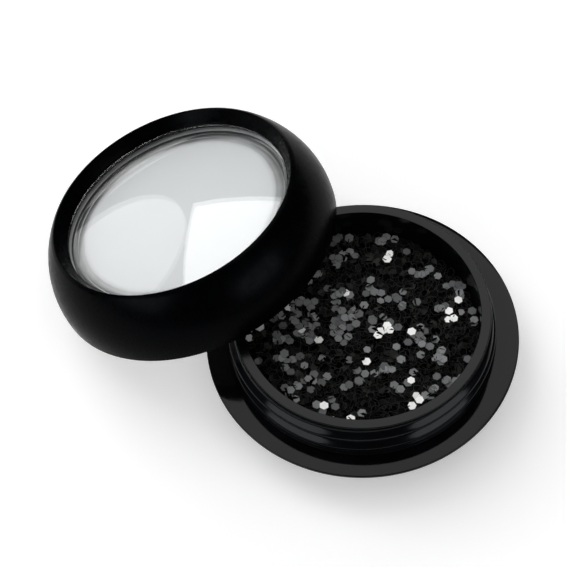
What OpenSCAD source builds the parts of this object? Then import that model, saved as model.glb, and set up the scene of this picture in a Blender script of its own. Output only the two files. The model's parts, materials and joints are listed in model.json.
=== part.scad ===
// Glitter jar: a saucer-shaped base with a threaded cup full of flakes, and a windowed screw lid leaning on it.
// Millimetres. The jar's axis is +Z, and the floor it stands on is z = 0.

/* [Base] */
// Radius of the saucer's thin edge
flange_r = 19; // [18.8:0.1:21]
// Height of the saucer's top face at the neck
flange_z = 5; // [4.9:0.05:5.2]
// Fall of the saucer's top from the neck to the edge
flange_fall = 0.16; // [0.05:0.01:0.3]
// Radius of the flat foot
foot_r = 15.6; // [14.5:0.1:16]
// Thickness of the base's floor
shell_floor = 1.5; // [1:0.1:1.5]

/* [Cup and neck] */
// Height of the neck above the saucer
neck_h = 5.25; // [5.2:0.05:5.5]
// Outside radius of the neck
neck_r = 15.45; // [15.4:0.01:15.5]
// Bore radius of the cup
bore_r = 14.25; // [13.5:0.05:14.4]
// Radius over the neck's thread
thread_crest_r = 16.1; // [15.9:0.01:16.15]
// Pitch of the thread
pitch = 2.4; // [2.3:0.05:2.5]
// Ridges in the neck's interrupted thread
neck_ridges = 10; // [8:1:11]

/* [Glitter] */
// Depth of the glitter's surface below the neck's rim
fill_drop = 4.3; // [4.25:0.05:5]
// Size of a flake across its corners
flake_d = 1.1; // [0.8:0.05:1.2]
// Thickness of a flake
flake_t = 0.08; // [0.06:0.01:0.09]
// Flakes in the lower layer
low_flakes = 190; // [60:10:220]
// Flakes in the upper layer
high_flakes = 110; // [60:10:200]

/* [Lid] */
// Height of the lid's ring
lid_h = 9.25; // [9.2:0.05:9.6]
// Radius of the lid's bottom edge
lid_foot_r = 17.4; // [17.4:0.05:17.8]
// Largest radius of the barrel
barrel_r = 18.45; // [18.3:0.05:18.9]
// Level of the largest radius
barrel_s = 1.8; // [1.5:0.1:2.2]
// Radius of the crest
crest_r = 15.6; // [15.5:0.05:16]
// Radius of the window's visible edge
lens_r = 14.35; // [14:0.05:14.6]
// Depth of the window's edge below the crest
lens_drop = 1.8; // [1.7:0.05:1.9]
// Rise of the window's dome
dome_rise = 1.9; // [1.2:0.1:2.2]
// Thickness of the window
window_t = 0.8; // [0.6:0.1:1]
// Thickness of the seal disc
seal_t = 0.58; // [0.4:0.02:0.6]

/* [Where the lid leans] */
// Tilt of the lid's axis from upright
lean = 20.9; // [20.5:0.1:21.5]
// Compass direction that the lid's axis tilts towards
lean_az = 144.9; // [144:0.1:146]
// Lid's foot centre, x
lid_x = -20.19; // [-21:0.01:-20.15]
// Lid's foot centre, y
lid_y = 12.08; // [12.05:0.01:12.6]

/* [Hidden] */
$fn = 96;
rim_z = flange_z + neck_h;
fill_z = rim_z - fill_drop;
pocket_r = 15.05;
cup_r = 15;
cup_z = shell_floor + 0.02;
bowl_z = cup_z + 1;
foot_bead_r = 15.95;
lead = atan(pitch / (2 * 3.14159 * neck_r));
// levels in the lid, counted up from its bottom edge
seal_s = neck_h + 0.05;
plate_s = seal_s + seal_t + 0.02;
plate_t = 0.5;
window_s = plate_s + plate_t + 0.04;
lens_s = lid_h - lens_drop;
flange_t = 0.5;
insert_r = 16.85;
insert_root_r = 16.3;
insert_crest_r = 15.65;
// the barrel's arc: upright at barrel_s, and through the crest
rise = lid_h - barrel_s;
inset = barrel_r - crest_r;
arc_r = (rise * rise + inset * inset) / (2 * inset);
arc_x = barrel_r - arc_r;
dome_r = (lens_r * lens_r + dome_rise * dome_rise) / (2 * dome_rise);

// One ridge of an interrupted thread: a short ring of trapezium section, tipped by the lead angle.
module ridge(turn, level, root, crest, half, arc) {
    translate([0, 0, level]) rotate([0, 0, turn]) rotate([lead, 0, 0]) rotate([0, 0, -arc / 2])
        rotate_extrude(angle = arc)
            polygon([[root, -half], [crest, -half * 0.45], [crest, half * 0.45], [root, half]]);
}

// A flat-bottomed bowl's half section, from its floor up to a level.
module bowl(r, low, high, drop = 0) {
    polygon([[0, low], [r - 2.6, low], [r - 1.6, low + 0.25], [r - 0.7, low + 0.8], [r - 0.2, low + 1.5],
             [r, low + 2.3], [r, high - drop], [r * 0.6, high], [0, high]]);
}

// ---- base ----
module base_shell() color([0.02, 0.02, 0.025]) {
    rotate_extrude() difference() {
        union() {
            polygon([[0, 0], [foot_r - 0.3, 0], [foot_r, 0.3], [foot_r + 0.35, 1.3], [foot_r + 1.1, 2.4],
                     [flange_r - 1.7, 3.4], [flange_r - 0.6, flange_z - 0.85], [flange_r - 0.25, flange_z - flange_fall - 0.5],
                     [flange_r - 0.25, flange_z - flange_fall], [pocket_r + 1.2, flange_z], [0, flange_z]]);
            translate([flange_r - 0.25, flange_z - flange_fall - 0.25]) circle(r = 0.25);
        }
        translate([0, shell_floor]) square([pocket_r, flange_z]);
        translate([0, 2.8]) square([pocket_r + 0.2, 0.5]);
    }
}

module inner_cup() color([0.02, 0.02, 0.025]) {
    difference() {
        union() {
            rotate_extrude() polygon([
                [0, cup_z], [cup_r - 1.2, cup_z], [cup_r, cup_z + 1.2], [cup_r, 2.85], [cup_r + 0.15, 2.95],
                [cup_r + 0.15, 3.15], [cup_r, 3.25], [cup_r, flange_z + 0.02],
                [foot_bead_r + 0.25, flange_z + 0.02], [foot_bead_r + 0.25, flange_z + 0.1],
                [foot_bead_r, flange_z + 0.22], [foot_bead_r, flange_z + 0.45], [neck_r, flange_z + 0.7], [neck_r, rim_z - 0.95],
                [neck_r - 0.12, rim_z - 0.85], [neck_r - 0.12, rim_z - 0.7], [neck_r, rim_z - 0.6],
                [neck_r, rim_z - 0.12], [neck_r - 0.12, rim_z], [0, rim_z]]);
            for (i = [0 : neck_ridges - 1])
                ridge(-127 + 45 * i, flange_z + 1.15 + pitch * i / 8, neck_r - 0.5, thread_crest_r, 0.5, 43);
        }
        rotate_extrude() bowl(bore_r, bowl_z, rim_z + 1);
    }
}

module glitter_bed() color([0.03, 0.03, 0.035])
    rotate_extrude() bowl(bore_r - 0.02, bowl_z + 0.02, fill_z - 0.02, 0.05);

// Flakes lie on a sunflower spiral; every spacing is wider than a flake, so none meet.
module flake(i, count, level, reach) {
    r = reach * sqrt((i + 0.5) / count);
    rotate([0, 0, 137.508 * i]) translate([r, 0, level]) rotate([0, 0, 61 * i])
        cylinder(h = flake_t, d = flake_d, $fn = 6);
}
module flakes(kind) {
    for (i = [0 : low_flakes - 1]) if (shade(i) == kind) flake(i, low_flakes, fill_z, bore_r - 0.75);
    for (i = [0 : high_flakes - 1])
        if (shade(i + 3) == kind) flake(i, high_flakes, fill_z + flake_t + 0.02, bore_r - 0.9);
}
// Two flakes in thirteen are grey and one in twenty-nine is a bright silver one.
function shade(i) = i % 29 == 7 ? 2 : (i % 13 == 4 || i % 13 == 9) ? 1 : 0;

module flakes_black() color([0.03, 0.03, 0.035]) flakes(0);
module flakes_grey() color([0.35, 0.36, 0.38]) flakes(1);
module flakes_silver() color([0.9, 0.9, 0.92]) flakes(2);

// ---- lid, drawn upright on its own axis, then leaned over ----
module lean_lid() {
    translate([lid_x, lid_y, lid_foot_r * sin(lean)]) rotate([0, lean, lean_az]) children();
}

module lid_ring() color([0.01, 0.01, 0.012]) lean_lid() rotate_extrude() difference() {
    intersection() {
        translate([arc_x, barrel_s]) circle(r = arc_r);
        polygon([[arc_x, 0], [lid_foot_r, 0], [lid_foot_r + 1, 0.5], [lid_foot_r + 3, 1.2], [lid_foot_r + 3, lid_h],
                 [arc_x, lid_h]]);
    }
    polygon([[0, -1], [insert_r + 0.05, -1], [insert_r + 0.05, 2.7], [insert_r + 0.3, 2.8], [insert_r + 0.3, 3.2],
             [insert_r + 0.05, 3.3], [insert_r + 0.05, plate_s + plate_t + 0.02], [15.5, plate_s + plate_t + 0.02],
             [15.5, window_s + flange_t + 0.03], [lens_r, window_s + flange_t + 0.03], [lens_r, lens_s],
             [crest_r - 0.12, lid_h], [crest_r - 0.12, lid_h + 1], [0, lid_h + 1]]);
}

module lid_window() color([0.95, 0.96, 0.98, 0.35]) lean_lid() {
    difference() {
        union() {
            translate([0, 0, window_s]) cylinder(r = 15.4, h = flange_t);
            translate([0, 0, window_s]) cylinder(r = lens_r - 0.04, h = lens_s - window_s);
            intersection() {
                translate([0, 0, lens_s + dome_rise - dome_r]) sphere(r = dome_r);
                translate([0, 0, lens_s - 0.1]) cylinder(r = lens_r - 0.04, h = 5);
            }
        }
        intersection() {
            translate([0, 0, lens_s + dome_rise - dome_r]) sphere(r = dome_r - window_t);
            translate([0, 0, window_s - 1]) cylinder(r = 13.6, h = 9);
        }
    }
}

module lid_insert() color([0.92, 0.92, 0.93]) lean_lid() {
    difference() {
        rotate_extrude() polygon([[0, plate_s], [insert_root_r, plate_s], [insert_root_r, 0.3], [insert_r - 0.1, 0.3],
            [insert_r, 0.4], [insert_r, 2.75], [insert_r + 0.2, 2.85], [insert_r + 0.2, 3.15], [insert_r, 3.25],
            [insert_r, plate_s + plate_t], [0, plate_s + plate_t]]);
    }
    for (i = [0 : 7]) ridge(-127 + 45 * i, 1.25 + pitch * i / 8 + pitch / 2 - 0.5, insert_root_r + 0.25,
                            insert_crest_r, 0.42, 34);
}

module seal_disc() color([0.97, 0.97, 0.95]) lean_lid() translate([0, 0, seal_s]) cylinder(r = 15.5, h = seal_t);

base_shell();
inner_cup();
glitter_bed();
flakes_black();
flakes_grey();
flakes_silver();
lid_ring();
lid_window();
lid_insert();
seal_disc();
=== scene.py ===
import json
import math
import random

import bpy
from mathutils import Matrix, Vector


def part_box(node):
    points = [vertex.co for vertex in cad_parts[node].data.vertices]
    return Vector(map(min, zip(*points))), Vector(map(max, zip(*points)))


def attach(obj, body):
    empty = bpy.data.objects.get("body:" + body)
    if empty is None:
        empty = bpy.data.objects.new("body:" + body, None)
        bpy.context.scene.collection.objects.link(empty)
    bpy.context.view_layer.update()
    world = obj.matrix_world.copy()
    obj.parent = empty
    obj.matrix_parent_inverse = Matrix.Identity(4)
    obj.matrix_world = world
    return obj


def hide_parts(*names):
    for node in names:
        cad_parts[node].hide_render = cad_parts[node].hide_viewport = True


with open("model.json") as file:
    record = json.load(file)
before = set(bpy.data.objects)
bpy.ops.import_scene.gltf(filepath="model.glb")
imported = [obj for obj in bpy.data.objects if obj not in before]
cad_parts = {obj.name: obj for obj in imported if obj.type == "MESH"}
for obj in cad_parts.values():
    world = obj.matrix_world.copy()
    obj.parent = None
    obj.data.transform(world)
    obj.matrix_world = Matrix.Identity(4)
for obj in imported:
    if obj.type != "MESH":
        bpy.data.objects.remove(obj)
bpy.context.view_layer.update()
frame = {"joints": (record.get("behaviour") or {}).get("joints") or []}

# A small jar of hexagonal glitter, with its windowed screw lid leaning on it.
# Profiles are (radius, height) pairs in millimetres, and meshes are in metres. The lid's pieces are drawn
# upright, with heights counted from the lid's foot, and then placed by LID_PLACE.
MM = 0.001
TURN = 2 * math.pi
random.seed(20)

JAR, SEAL, LID = "jar", "seal", "lid"


# ---------------------------------------------------------------- sizes and places
def top(node):
    """The height of a node's highest point."""
    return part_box(node)[1].z / MM


def reach(node):
    """The radius of a node that stands on the jar's axis."""
    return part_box(node)[1].x / MM


FLANGE_R = reach("base_shell")
FLANGE_Z = top("base_shell")
THREAD_R = reach("inner_cup")  # the neck's thread is drawn as wide as the neck's foot
RIM_Z = top("inner_cup")
FILL_Z = top("glitter_bed")

# Sizes that the nodes' boxes don't show. R is a radius, Z a height above the floor, and S one above the
# lid's foot, as are the three tops.
SHELL_FLOOR = 1.5
POCKET_R = 15.05
CUP_R = 15
FOOT_BEAD_R = 15.95
NECK_R = 15.45
BORE_R = 14.25
BED_R = 14.22
PITCH = 2.4
LID_H = 9.25
INSERT_R, INSERT_ROOT_R, INSERT_CREST_R = 16.85, 16.3, 15.66
RING_BORE_R = 16.9  # the ring's bore, which holds the insert
PLATE_S, PLATE_TOP = 5.9, 6.4
SEAL_R, SEAL_S, SEAL_TOP = 15.5, 5.3, 5.88
WINDOW_FLANGE_R, WINDOW_S, WINDOW_FLANGE_TOP = 15.4, 6.47, 6.95
LENS_R, LENS_S = 14.35, 7.45  # the window's visible edge
DOME_RISE = 1.9
DOME_R = (LENS_R ** 2 + DOME_RISE ** 2) / (2 * DOME_RISE)
WINDOW_T = 0.8
ARC_X, ARC_S, ARC_R = 7.29, 1.8, 11.16  # centre and radius of the barrel's arc
ON_WALL = 0.02  # how near a wall's radius a point has to be for a thread to move it

hinge = next(j for j in frame["joints"] if j["name"] == "lid_turn")
axis = Vector(hinge["axis"]).normalized()
side = Vector((0, 0, 1)).cross(axis).normalized()
LID_TURN = Matrix((side.cross(axis), side, axis)).transposed().to_4x4()
LID_PLACE = Matrix.Translation(Vector(hinge["pos_m"])) @ LID_TURN


# ---------------------------------------------------------------- mesh tools
def rounded(corners, steps=5):
    """A closed outline from (r, z) points and (r, z, fillet) corners: each fillet becomes a short curve."""
    pts = []
    n = len(corners)
    for i, corner in enumerate(corners):
        p = Vector(corner[:2])
        fillet = corner[2] if len(corner) > 2 else 0
        if fillet <= 0:
            pts.append(p)
            continue
        a = Vector(corners[i - 1][:2]) - p
        b = Vector(corners[(i + 1) % n][:2]) - p
        la, lb = a.length, b.length
        a, b = a / la, b / lb
        half = a.angle(b) / 2
        if half > 1.5:  # nearly straight
            pts.append(p)
            continue
        cut = min(fillet / math.tan(half), la * 0.45, lb * 0.45)
        for k in range(steps + 1):
            t = k / steps
            pts.append((p + a * cut) * (1 - t) ** 2 + p * 2 * t * (1 - t) + (p + b * cut) * t ** 2)
    return [(v.x, v.y) for v in pts]


def column(r, low, high, step):
    """Evenly spaced points up a straight wall, for a shape function to move."""
    n = max(1, round((high - low) / step))
    return [(r, low + (high - low) * k / n) for k in range(n + 1)]


def new_mesh(name, verts, faces, sharp=32):
    me = bpy.data.meshes.new(name)
    me.from_pydata([tuple(v) for v in verts], [], faces)
    me.validate()
    me.shade_smooth()
    me.set_sharp_from_angle(angle=math.radians(sharp))
    ob = bpy.data.objects.new(name, me)
    bpy.context.scene.collection.objects.link(ob)
    return ob


def lathe(name, outline, segments=256, place=None, shape=None, sharp=32):
    """Turns a closed (r, z) outline round Z. shape(angle, r, z) may give each point another (r, z)."""
    area = sum(a[0] * b[1] - b[0] * a[1] for a, b in zip(outline, outline[1:] + outline[:1]))
    if area < 0:  # the faces look outward only from an outline that runs anticlockwise
        outline = outline[::-1]
    verts, rows = [], []
    for r, z in outline:
        count = 1 if r < 1e-6 else segments  # a row on the axis is one point
        rows.append([len(verts) + k % count for k in range(segments)])
        for k in range(count):
            angle = TURN * k / segments
            q, h = shape(angle, r, z) if shape else (r, z)
            verts.append(Vector((q * math.cos(angle), q * math.sin(angle), h)) * MM)
    faces = []
    for low, high in zip(rows, rows[1:] + rows[:1]):
        for k in range(segments):
            m = (k + 1) % segments
            corners = list(dict.fromkeys((low[k], low[m], high[m], high[k])))
            if len(corners) > 2:
                faces.append(corners)
    radii = [math.hypot(v.x, v.y) / MM for v in verts]
    if place:
        verts = [place @ v for v in verts]
    ob = new_mesh(name, verts, faces, sharp)
    ob.data.attributes.new("radius_mm", "FLOAT", "POINT").data.foreach_set("value", radii)
    return ob


def own(ob, body, node, material):
    """The piece takes its material, rides on a body, and stands for a CAD node, which is hidden."""
    ob.data.materials.append(material)
    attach(ob, body)
    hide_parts(node)


# ---------------------------------------------------------------- shader tools
def principled(name, base, rough, specular):
    m = bpy.data.materials.new(name)
    m.use_nodes = True
    nt = m.node_tree
    p = nt.nodes["Principled BSDF"]
    p.inputs["Base Color"].default_value = (*base, 1)
    p.inputs["Roughness"].default_value = rough
    p.inputs["Specular IOR Level"].default_value = specular
    return m, nt, p


def noise(nt, scale, detail=3.0, rough=0.5):
    coords = nt.nodes.new("ShaderNodeTexCoord")
    n = nt.nodes.new("ShaderNodeTexNoise")
    n.inputs["Scale"].default_value = scale
    n.inputs["Detail"].default_value = detail
    n.inputs["Roughness"].default_value = rough
    nt.links.new(coords.outputs["Object"], n.inputs["Vector"])
    return n.outputs["Fac"]


def attribute(nt, name):
    node = nt.nodes.new("ShaderNodeAttribute")
    node.attribute_name = name
    return node.outputs["Fac"]


def combined(nt, operation, a, b):
    node = nt.nodes.new("ShaderNodeMath")
    node.operation = operation
    nt.links.new(a, node.inputs[0])
    nt.links.new(b, node.inputs[1])
    return node.outputs[0]


def span(nt, fac, low, high, to_low, to_high):
    """Maps low..high to to_low..to_high."""
    r = nt.nodes.new("ShaderNodeMapRange")
    r.inputs["From Min"].default_value, r.inputs["From Max"].default_value = low, high
    r.inputs["To Min"].default_value, r.inputs["To Max"].default_value = to_low, to_high
    nt.links.new(fac, r.inputs["Value"])
    return r.outputs["Result"]


def colour_ramp(nt, fac, low, high, a, b):
    """Colour a at low, running to colour b at high."""
    r = nt.nodes.new("ShaderNodeValToRGB")
    r.color_ramp.elements[0].position, r.color_ramp.elements[1].position = low, high
    r.color_ramp.elements[0].color = (*a, 1)
    r.color_ramp.elements[1].color = (*b, 1)
    nt.links.new(fac, r.inputs["Fac"])
    return r.outputs["Color"]


def grey_ramp(nt, fac, stops):
    """Slightly cool greys at the given (place, grey) stops."""
    r = nt.nodes.new("ShaderNodeValToRGB")
    elements = r.color_ramp.elements
    while len(elements) < len(stops):
        elements.new(0.5)
    for element, (where, grey) in zip(elements, stops):
        element.position, element.color = where, (grey, grey * 1.01, grey * 1.02, 1)
    nt.links.new(fac, r.inputs["Fac"])
    return r.outputs["Color"]


def colour_mix(nt, fac, a, blend_type="MIX"):
    """A mix whose first colour is a. The caller sets or links its second, inputs[7]."""
    mix = nt.nodes.new("ShaderNodeMix")
    mix.data_type = "RGBA"
    mix.blend_type = blend_type
    nt.links.new(a, mix.inputs[6])
    nt.links.new(fac, mix.inputs["Factor"])
    return mix


def bump(nt, shader, fac, height_mm):
    b = nt.nodes.new("ShaderNodeBump")
    b.inputs["Strength"].default_value = 1
    b.inputs["Distance"].default_value = height_mm * MM
    nt.links.new(fac, b.inputs["Height"])
    nt.links.new(b.outputs["Normal"], shader.inputs["Normal"])


# ---------------------------------------------------------------- materials
def moulded(name, dark, light, rough, specular, waviness=0.004, ior=1.5):
    """Moulded plastic: faint colour drift, roughness that varies with handling, and a slow surface wave."""
    m, nt, p = principled(name, dark, rough, specular)
    p.inputs["IOR"].default_value = ior
    drift = noise(nt, scale=260, detail=4)
    handling = noise(nt, scale=900, detail=5, rough=0.65)
    nt.links.new(colour_ramp(nt, drift, 0.35, 0.7, dark, light), p.inputs["Base Color"])
    nt.links.new(span(nt, handling, 0.3, 0.75, rough * 0.8, rough * 1.35), p.inputs["Roughness"])
    bump(nt, p, noise(nt, scale=420, detail=2, rough=0.4), waviness)
    return m


def clear_window():
    """Clear acrylic: what is behind shows through, and a Fresnel gloss lies on top."""
    m = bpy.data.materials.new("clear_acrylic")
    m.use_nodes = True
    nt = m.node_tree
    nt.nodes.remove(nt.nodes["Principled BSDF"])
    see = nt.nodes.new("ShaderNodeBsdfTransparent")
    see.inputs["Color"].default_value = (0.985, 0.99, 0.99, 1)
    gloss = nt.nodes.new("ShaderNodeBsdfGlossy")
    gloss.inputs["Roughness"].default_value = 0.03
    gloss.inputs["Color"].default_value = (1, 1, 1, 1)
    bump(nt, gloss, noise(nt, scale=160, detail=2, rough=0.4), 0.006)
    fresnel = nt.nodes.new("ShaderNodeFresnel")
    ior = 1.5
    back = nt.nodes.new("ShaderNodeNewGeometry").outputs["Backfacing"]
    # Fresnel inverts its IOR on a back face, so inverting it first keeps the same gloss on both sides
    nt.links.new(span(nt, back, 0, 1, ior, 1 / ior), fresnel.inputs["IOR"])
    mix = nt.nodes.new("ShaderNodeMixShader")
    nt.links.new(fresnel.outputs[0], mix.inputs["Fac"])
    nt.links.new(see.outputs[0], mix.inputs[1])
    nt.links.new(gloss.outputs[0], mix.inputs[2])
    nt.links.new(mix.outputs[0], nt.nodes["Material Output"].inputs["Surface"])
    return m


def painted_shade_face(name):
    """The insert's face under the window: pale, with painted shade darkening it towards its edge and painted
    light rings there that stand in for glints of the window's edge.
    """
    m, nt, p = principled(name, (0.8, 0.8, 0.8), 0.35, 0.3)
    radius = attribute(nt, "radius_mm")
    waver = span(nt, noise(nt, scale=120), 0.3, 0.7, -0.4, 0.4)
    # Painted shade: darker towards the face's edge, over the recess that the ring shades.
    painted_shade = grey_ramp(nt, span(nt, combined(nt, "ADD", radius, waver), 12.0, 14.4, 0, 1), [
        (0.0, 0.78), (0.2, 0.7), (0.4, 0.45), (0.55, 0.22), (0.7, 0.08), (0.9, 0.04), (1.0, 0.03)])
    # Painted light rings near the edge, standing in for glints of the window's edge.
    painted_glint_rings = grey_ramp(nt, span(nt, radius, 12.7, 14.4, 0, 1), [
        (0.0, 0.0), (0.12, 0.0), (0.17, 0.4), (0.22, 0.0), (0.44, 0.0), (0.5, 0.55), (0.56, 0.03),
        (0.78, 0.02), (0.84, 0.4), (0.9, 0.0)])
    patchy = span(nt, noise(nt, scale=90), 0.38, 0.62, 0.1, 1.0)
    mix = colour_mix(nt, patchy, painted_shade, "LIGHTEN")
    nt.links.new(painted_glint_rings, mix.inputs[7])
    nt.links.new(mix.outputs[2], p.inputs["Base Color"])
    return m


def film(name, dark, light, rim, rough, specular):
    """Cut film: each flake has its own tone, and its cut edge and the band next to it take the rim colour,
    painted light that each kind of flake sets at its call.
    """
    m, nt, p = principled(name, dark, rough, specular)
    speck = span(nt, noise(nt, scale=1500), 0.3, 0.7, 0.8, 1.2)
    body = colour_ramp(nt, combined(nt, "MULTIPLY", attribute(nt, "tone"), speck), 0.0, 1.0, dark, light)
    mix = colour_mix(nt, span(nt, attribute(nt, "edge"), 0.4, 0.9, 0, 1), body)
    mix.inputs[7].default_value = (*rim, 1)
    nt.links.new(mix.outputs[2], p.inputs["Base Color"])
    nt.links.new(span(nt, noise(nt, scale=1500), 0.3, 0.7, rough * 0.7, rough * 1.4), p.inputs["Roughness"])
    bump(nt, p, noise(nt, scale=2600, detail=2), 0.01)
    return m


def floor_material():
    m, nt, p = principled("pale_floor", (0.9, 0.9, 0.9), 0.9, 0.0)
    drift = colour_ramp(nt, noise(nt, scale=3, detail=2), 0.3, 0.7, (0.90, 0.90, 0.90), (0.92, 0.92, 0.92))
    nt.links.new(drift, p.inputs["Base Color"])
    p.inputs["Emission Color"].default_value = (1, 1, 1, 1)
    p.inputs["Emission Strength"].default_value = 0.33
    return m


# A low IOR keeps the black plastics as dark as polished black ones look beside a white floor
black_base = moulded("black_base", dark=(0.0015, 0.0015, 0.0022), light=(0.003, 0.003, 0.0042),
                     rough=0.08, specular=0.5, ior=1.19)
black_neck = moulded("black_neck", dark=(0.0015, 0.0018, 0.0024), light=(0.003, 0.0035, 0.0045),
                     rough=0.13, specular=0.5, ior=1.21)
black_lid = moulded("black_lid", dark=(0.0002, 0.0004, 0.0007), light=(0.0006, 0.0008, 0.0012),
                    rough=0.27, specular=0.5, ior=1.09)
pale_insert = moulded("pale_insert", dark=(0.74, 0.74, 0.745), light=(0.8, 0.8, 0.8),
                      rough=0.35, specular=0.35)
# The insert's top face, with painted shade at its edge and painted light rings.
insert_painted_shade = painted_shade_face("insert_painted_shade")
foam = moulded("foam_liner", dark=(0.72, 0.72, 0.71), light=(0.8, 0.8, 0.79),
               rough=0.75, specular=0.2, waviness=0.03)
acrylic = clear_window()
# The black flakes' rim is a painted highlight: their edges look lit.
flake_black = film("flake_black", dark=(0.0003, 0.0003, 0.0003), light=(0.04, 0.04, 0.038),
                   rim=(0.034, 0.034, 0.0325), rough=0.3, specular=0.01)
# The grey flakes' rim is a painted shadow: a dark outline for the shade between flakes.
flake_grey = film("flake_grey", dark=(0.1, 0.103, 0.106), light=(0.27, 0.275, 0.28),
                  rim=(0.05, 0.05, 0.05), rough=0.4, specular=0.06)
# The silver flakes' rim is a painted shadow: a dark outline for the shade between flakes.
flake_silver = film("flake_silver", dark=(0.84, 0.84, 0.82), light=(0.97, 0.97, 0.95),
                    rim=(0.45, 0.45, 0.44), rough=0.3, specular=0.8)


# ---------------------------------------------------------------- threads
def smooth_step(x):
    x = min(1.0, max(0.0, x))
    return x * x * (3 - 2 * x)


def ridges(first, step, count, level, arc, half, flat):
    """A height function for an interrupted thread, in degrees: 1 on a ridge's crest, 0 away from it."""
    end = 1.6

    def height(a, z):
        deg = math.degrees(a)
        best = 0.0
        for i in range(count):
            middle = first + step * i
            off = (deg - middle + 180) % 360 - 180
            if abs(off) < arc / 2:
                along = smooth_step((arc / 2 - abs(off)) / end)
                centre = level + PITCH * (middle - first + off) / 360
                best = max(best, along * smooth_step((half - abs(z - centre)) / (half - flat)))
        return best
    return height


def helix(start, turns, level, half, flat):
    """The same for one unbroken ridge that climbs as it goes round, and fades in and out."""
    run_in = 60

    def height(a, z):
        deg = math.degrees(a)
        best = 0.0
        for k in range(-1, 3):
            along = deg - start + 360 * k
            if 0 <= along <= 360 * turns:
                centre = level + PITCH * along / 360
                ends = smooth_step(min(along, 360 * turns - along) / run_in)
                best = max(best, ends * smooth_step((half - abs(z - centre)) / (half - flat)))
        return best
    return height


neck_thread = helix(start=-260, turns=1.78, level=FLANGE_Z, half=0.98, flat=0.05)
lid_thread = ridges(first=-127, step=45, count=8, level=1.95, arc=34, half=0.45, flat=0.18)


# ---------------------------------------------------------------- base
def base_shell():
    """The saucer, with its foot, its thin edge and the pocket that holds the cup."""
    outline = rounded([
        (0, 0, 0), (15.3, 0, 0.2), (15.65, 0.35, 0.3), (15.95, 1.3, 1.0), (16.8, 2.6, 1.2), (17.6, 3.5, 1.0),
        (18.5, 4.2, 0.3), (FLANGE_R, 4.45, 0.12), (FLANGE_R, FLANGE_Z - 0.14, 0.12),
        (18.3, FLANGE_Z - 0.03, 0.5), (17.2, FLANGE_Z, 0.3), (16.0, FLANGE_Z, 0), (POCKET_R, FLANGE_Z, 0.06),
        (POCKET_R, 3.3, 0), (POCKET_R + 0.2, 3.3, 0), (POCKET_R + 0.2, 2.8, 0), (POCKET_R, 2.8, 0),
        (POCKET_R, SHELL_FLOOR, 0), (0, SHELL_FLOOR, 0)])
    own(lathe("saucer", outline), JAR, "base_shell", black_base)


def inner_cup():
    """The cup, with a cove at the neck's foot, the threaded neck, and a groove under its rim."""
    wall_low, wall_high = FLANGE_Z + 0.62, RIM_Z - 0.54
    groove_r = NECK_R - 0.12
    foot = SHELL_FLOOR + 0.02
    outline = rounded([
        (0, foot), (13.8, foot, 0.3), (CUP_R, foot + 1.2, 0.3), (CUP_R, FLANGE_Z + 0.02),
        (16.25, FLANGE_Z + 0.02, 0.02), (16.2, FLANGE_Z + 0.1, 0.05), (FOOT_BEAD_R, FLANGE_Z + 0.22, 0.1),
        (FOOT_BEAD_R, FLANGE_Z + 0.42, 0.16), (NECK_R, wall_low, 0.04),
        *column(NECK_R, wall_low + 0.02, wall_high - 0.02, 0.045), (NECK_R, wall_high),
        (groove_r, RIM_Z - 0.48, 0.04), (groove_r, RIM_Z - 0.34, 0.04), (NECK_R, RIM_Z - 0.28, 0.05),
        (NECK_R, RIM_Z, 0.2), (BORE_R, RIM_Z, 0.1), (BORE_R, 4.8, 0.6), (BORE_R - 0.5, 3.6, 0.8),
        (BORE_R - 1.8, 2.7, 0.6), (BORE_R - 2.8, 2.52, 0.3), (0, 2.52, 0)])

    def with_thread(a, r, z):
        if abs(r - NECK_R) > ON_WALL or z < wall_low or z > wall_high - 0.01:
            return r, z
        fade = smooth_step((z - wall_low) / 0.25) * smooth_step((wall_high - z) / 0.2)
        return r + (THREAD_R - NECK_R) * neck_thread(a, z) * fade, z

    ob = lathe("threaded_cup", outline, segments=448, shape=with_thread, sharp=50)
    own(ob, JAR, "inner_cup", black_neck)


# ---------------------------------------------------------------- glitter
def bed_height(x, y):
    """The glitter's settled surface: a low mound with a few slow hollows."""
    r = math.hypot(x, y) / BORE_R
    wave = 0.10 * math.sin(0.55 * x + 0.8) * math.cos(0.48 * y - 0.4) + 0.05 * math.sin(1.3 * x + 1.1 * y)
    return FILL_Z - 0.02 + 0.12 * (1 - r * r) + wave * (1 - r ** 6)


def glitter_bed():
    """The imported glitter, just under the loose flakes."""
    rings, cover = 40, 0.12
    outline = [(0, 2.56), (11.4, 2.56), (12.6, 2.8), (13.6, 3.4), (14.1, 4.1), (BED_R, 4.9)]
    outline += [(BED_R * (1 - k / rings), FILL_Z) for k in range(rings + 1)]

    def settled(a, r, z):
        if z < FILL_Z:
            return r, z
        return r, bed_height(r * math.cos(a), r * math.sin(a)) - cover

    own(lathe("packed_glitter", outline, segments=160, shape=settled), JAR, "glitter_bed", flake_black)


def scatter(count, spread):
    """Even random (radius, angle) places."""
    return [(spread * math.sqrt(random.random()), TURN * random.random()) for _ in range(count)]


def clumps(centres, each, spread, near):
    """Places in loose clumps: a few flakes within reach of each centre."""
    places = []
    for r, a in scatter(centres, spread):
        for _ in range(random.randint(*each)):
            x = r * math.cos(a) + random.gauss(0, near)
            y = r * math.sin(a) + random.gauss(0, near)
            places.append((min(spread, math.hypot(x, y)), math.atan2(y, x)))
    return places


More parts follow.
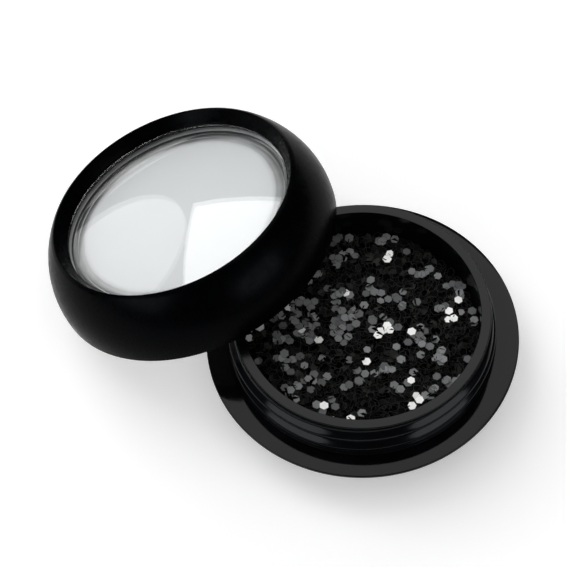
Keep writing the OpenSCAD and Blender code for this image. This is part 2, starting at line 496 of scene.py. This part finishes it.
def flake_cloud(name, node, material, places, size, lift, tilt, darker=1.0):
    """Loose hexagonal flakes: thin prisms on the bed, each with its own size, lean and tone.

    A flake has four rings of six corners, from its lower face's inner one to its upper face's, and the two
    middle rings are its cut edge. The higher darker is, the more of the flakes are dark."""
    thick, inner, wall_gap, rise = 0.035, 0.8, 0.06, 0.4
    n = 6
    rings = ((inner, -thick / 2), (1, -thick / 2), (1, thick / 2), (inner, thick / 2))
    verts, faces, tones = [], [], []
    for r, a in places:
        half = size / 2 * random.uniform(0.9, 1.08)
        lean = abs(random.gauss(0, math.radians(tilt)))
        r = min(r, BORE_R - wall_gap - half)
        x, y = r * math.cos(a), r * math.sin(a)
        z = bed_height(x, y) + random.uniform(*lift) + half * math.sin(lean) * rise
        turn = Matrix.Rotation(TURN * random.random(), 3, "Z") @ Matrix.Rotation(lean, 3, "X") \
            @ Matrix.Rotation(TURN * random.random(), 3, "Z")
        base = len(verts)
        for share, level in rings:
            for k in range(n):
                corner = half * share * math.cos(TURN * k / n), half * share * math.sin(TURN * k / n), level
                verts.append((turn @ Vector(corner) + Vector((x, y, z))) * MM)
        tones += [random.random() ** darker] * len(rings) * n
        faces.append([base + k for k in reversed(range(n))])
        faces.append([base + 3 * n + k for k in range(n)])
        for low in (base, base + n, base + 2 * n):
            for k in range(n):
                m = (k + 1) % n
                faces.append([low + k, low + m, low + n + m, low + n + k])
    ob = new_mesh(name, verts, faces, sharp=20)
    ob.data.attributes.new("tone", "FLOAT", "POINT").data.foreach_set("value", tones)
    # edge marks the cut edge's rings, where film() paints the rim colour as painted light.
    edges = ([0.0] * n + [1.0] * 2 * n + [0.0] * n) * len(places)
    ob.data.attributes.new("edge", "FLOAT", "POINT").data.foreach_set("value", edges)
    own(ob, JAR, node, material)


def loose_glitter():
    """A deep layer of black flakes, with grey ones in clumps and a few bright ones on top."""
    spread = 13.7
    flake_cloud("glitter_black", "flakes_black", flake_black, scatter(3800, spread),
                size=1.15, lift=(-0.2, 0.12), tilt=20, darker=6)
    flake_cloud("glitter_grey", "flakes_grey", flake_grey,
                clumps(64, (1, 5), spread, 0.62) + scatter(64, spread), size=1.14, lift=(0.2, 0.42), tilt=7)
    flake_cloud("glitter_silver", "flakes_silver", flake_silver,
                clumps(8, (1, 3), spread, 0.6) + scatter(15, spread), size=1.12, lift=(0.28, 0.42), tilt=9)


# ---------------------------------------------------------------- lid
def barrel(low, high, n):
    """Points up the barrel's outer arc."""
    levels = [low + (high - low) * k / n for k in range(n + 1)]
    return [(ARC_X + math.sqrt(ARC_R ** 2 - (s - ARC_S) ** 2), s) for s in levels]


def lid_barrel():
    """The ring: a barrel outside, a slope from its crest to the window, and seats for the inner pieces."""
    down = (0.08, 0.2, 0.4, 0.6, 0.8, 0.95)
    slope = [(14.42 + 0.95 * (1 - t) ** 1.15, LENS_S + 1.62 * (1 - t)) for t in down]
    outline = rounded([
        (RING_BORE_R, 0.0, 0.05), (17.4, 0.0, 0.12), (17.95, 0.3, 0.2), *barrel(0.62, LID_H - 0.22, 34),
        (15.62, 9.13), (15.55, 9.2), (15.47, 9.21), (15.4, 9.17), *slope, (14.37, LENS_S), (14.37, 6.98),
        (15.5, 6.98), (15.5, 6.42), (RING_BORE_R, 6.42), (RING_BORE_R, 3.3), (17.15, 3.2), (17.15, 2.8),
        (RING_BORE_R, 2.7)])
    own(lathe("lid_barrel", outline, segments=448, place=LID_PLACE, sharp=40), LID, "lid_ring", black_lid)


def dome(r, shell=0.0):
    """The height of the window's dome, or of the surface that lies shell below it."""
    return LENS_S + DOME_RISE - DOME_R + math.sqrt((DOME_R - shell) ** 2 - r * r)


def window():
    """The clear window: a flange under the ring's lip, a smooth bead round its edge, and a hollow dome."""
    bead_r, bead = 14.19, 0.13
    outline = [(13.6, WINDOW_S), (WINDOW_FLANGE_R - 0.05, WINDOW_S), (WINDOW_FLANGE_R, WINDOW_S + 0.05),
               (WINDOW_FLANGE_R, WINDOW_FLANGE_TOP - 0.05), (WINDOW_FLANGE_R - 0.05, WINDOW_FLANGE_TOP),
               (14.34, WINDOW_FLANGE_TOP), (14.33, dome(14.3) - 0.15)]
    for degrees in range(-10, 171, 20):
        t = math.radians(degrees)
        outline.append((bead_r + bead * math.cos(t), dome(bead_r) + bead * math.sin(t) - 0.01))
    outline += [(r, dome(r) - 0.01) for r in (14.02, 13.95)]
    outline += [(r, dome(r)) for r in [13.85 * (1 - k / 30) for k in range(31)]]
    outline += [(r, dome(r, WINDOW_T)) for r in [13.55 * k / 26 for k in range(27)]]
    own(lathe("clear_window", outline, segments=448, place=LID_PLACE, sharp=50), LID, "lid_window", acrylic)


def threaded_insert():
    """The pale inner cap: internal thread, snap bead, and fine rings on its top near the window's edge."""
    plain_r, ring_step = 12, 0.75
    outline = rounded([
        (0, PLATE_S), (INSERT_ROOT_R, PLATE_S, 0.25), *reversed(column(INSERT_ROOT_R, 0.6, 5.5, 0.06)),
        (INSERT_ROOT_R, 0.32, 0.08), (16.82, 0.32, 0.08), (INSERT_R, 2.75), (17.05, 2.85, 0.03),
        (17.05, 3.15, 0.03), (INSERT_R, 3.25), (INSERT_R, PLATE_TOP, 0.1), (14.3, PLATE_TOP),
        (14.2, 6.1), (13.9, 6.02), (13.75, 6.12), (13.5, 6.04), (13.25, 6.05), (13.1, 6.16), (12.9, 6.14),
        (12.7, 6.3), (12.5, PLATE_TOP), *[(plain_r - ring_step * k, PLATE_TOP) for k in range(16)],
        (0, PLATE_TOP)])

    def with_thread(a, r, z):
        if abs(r - INSERT_ROOT_R) > ON_WALL or not 0.5 < z < 5.6:
            return r, z
        return r - (INSERT_ROOT_R - INSERT_CREST_R) * lid_thread(a, z), z

    ob = lathe("threaded_insert", outline, segments=448, place=LID_PLACE, shape=with_thread, sharp=50)
    own(ob, LID, "lid_insert", pale_insert)
    ob.data.materials.append(insert_painted_shade)
    upright = LID_PLACE.inverted()
    lowest, furthest = 5.99 * MM, 14.4 * MM
    shown = []  # whether the window shows each point
    for v in ob.data.vertices:
        p = upright @ v.co
        shown.append(p.z > lowest and p.xy.length < furthest)
    # The faces that the window shows take the second slot: the face with painted shade and painted light
    # rings.
    for face in ob.data.polygons:
        face.material_index = int(all(shown[v] for v in face.vertices))


def seal_liner():
    """The foam disc that lies in the lid and seals the neck's rim."""
    outline = rounded([(0, SEAL_S, 0), (SEAL_R, SEAL_S, 0.12), (SEAL_R, SEAL_TOP, 0.12), (0, SEAL_TOP, 0)])
    own(lathe("seal_liner", outline, place=LID_PLACE), SEAL, "seal_disc", foam)


base_shell()
inner_cup()
glitter_bed()
loose_glitter()
lid_barrel()
window()
threaded_insert()
seal_liner()


# ---------------------------------------------------------------- floor and lights, in metres
def pale_floor():
    half, z = 3.0, -0.00002
    floor = new_mesh("floor", [(-half, -half, z), (half, -half, z), (half, half, z), (-half, half, z)],
                     [(0, 1, 2, 3)])
    floor.data.materials.append(floor_material())


def softbox(name, where, width, height, radiance, glossy=True, diffuse=True, shape="RECTANGLE",
            tint=(1, 1, 1)):
    """A soft light that faces the jar. glossy and diffuse say whether reflections and shading see it."""
    lamp = bpy.data.lights.new(name, "AREA")
    lamp.shape = shape
    lamp.color = tint
    lamp.size, lamp.size_y = width, height
    lamp.energy = radiance * math.pi * width * height
    ob = bpy.data.objects.new(name, lamp)
    bpy.context.scene.collection.objects.link(ob)
    ob.location = where
    ob.rotation_euler = (Vector((0, 0, 0)) - Vector(where)).to_track_quat("-Z", "Y").to_euler()
    ob.visible_glossy = glossy
    ob.visible_diffuse = diffuse
    ob.visible_camera = False
    return ob


def from_sky(azimuth, elevation, distance=1.0):
    a, e = math.radians(azimuth), math.radians(elevation)
    return Vector((math.cos(a) * math.cos(e), math.sin(a) * math.cos(e), math.sin(e))) * distance


def cornered_softbox(name, corner, first, second, edge, radiance, **how):
    """A square softbox given by one corner and two points that its edges from there run near."""
    e1, e2 = (first - corner).normalized(), (second - corner).normalized()
    both, apart = (e1 + e2).normalized(), (e1 - e2).normalized()
    skew = 0.8  # below 1 it turns the two edges towards the second point; they stay at a right angle
    u, w = (both + skew * apart).normalized(), (both - apart / skew).normalized()
    centre = corner + u * edge / 2 + w * edge / 2
    if u.cross(w).dot(centre) < 0:  # it shines along its own -Z, towards the jar
        u, w = w, u
    ob = softbox(name, centre, edge, edge, radiance, **how)
    ob.rotation_euler = Matrix((u, w, u.cross(w))).transposed().to_euler()


def studio_lights():
    """Panels that only reflections see, wide fills that only shading sees, and a faint even sky."""
    cool = (0.9, 0.96, 1.0)
    cornered_softbox("softbox_key", from_sky(118, 28), from_sky(133, 44.7), from_sky(102, 41.4),
                     edge=1.3, radiance=3.75, diffuse=False)
    softbox("softbox_left", from_sky(141, 22), 0.69, 0.69, radiance=1.15, diffuse=False, shape="ELLIPSE")
    softbox("strip_right", from_sky(-38, 27, 1.2), 0.8, 0.5, radiance=3.8, diffuse=False, tint=cool)
    softbox("strip_left", from_sky(-140, 27, 1.2), 0.8, 0.5, radiance=3.8, diffuse=False, tint=cool)
    softbox("key_soft", from_sky(130, 38, 1.2), 0.9, 0.9, radiance=2.6, glossy=False)
    softbox("fill_over", (0, 0, 1.3), 2.4, 2.4, radiance=0.6, glossy=False)
    for azimuth, radiance in ((0, 0.7), (90, 1.5), (180, 1.9), (270, 1.2)):
        softbox(f"fill_{azimuth}", from_sky(azimuth, 14, 1.5), 2.0, 0.9, radiance, glossy=False)
    world = bpy.data.worlds.new("studio")
    world.use_nodes = True
    world.node_tree.nodes["Background"].inputs["Color"].default_value = (1, 1, 1, 1)
    world.node_tree.nodes["Background"].inputs["Strength"].default_value = 0.04
    bpy.context.scene.world = world
    bpy.context.scene.view_settings.view_transform = "Standard"


# ---------------------------------------------------------------- camera
def place_camera():
    """Looks steeply down past the jar, turned a little left and up from it, and rolled a little."""
    distance, elevation = 0.2434, math.radians(60.38)
    left, upward, roll = math.radians(2.2191), math.radians(1.5094), math.radians(1.19)
    back = Vector((0, -math.cos(elevation), math.sin(elevation)))
    turn = Matrix.Rotation(math.pi / 2 - elevation, 4, "X") @ Matrix.Rotation(left, 4, "Y") \
        @ Matrix.Rotation(upward, 4, "X") @ Matrix.Rotation(-roll, 4, "Z")
    camera = bpy.data.objects.new("camera", bpy.data.cameras.new("camera"))
    bpy.context.scene.collection.objects.link(camera)
    camera.matrix_world = Matrix.Translation(Vector((0, 0, FLANGE_Z * MM)) + back * distance) @ turn
    camera.data.sensor_width = 36
    camera.data.lens = 126.984
    camera.data.clip_start, camera.data.clip_end = 0.01, 10
    bpy.context.scene.camera = camera


pale_floor()
studio_lights()
place_camera()
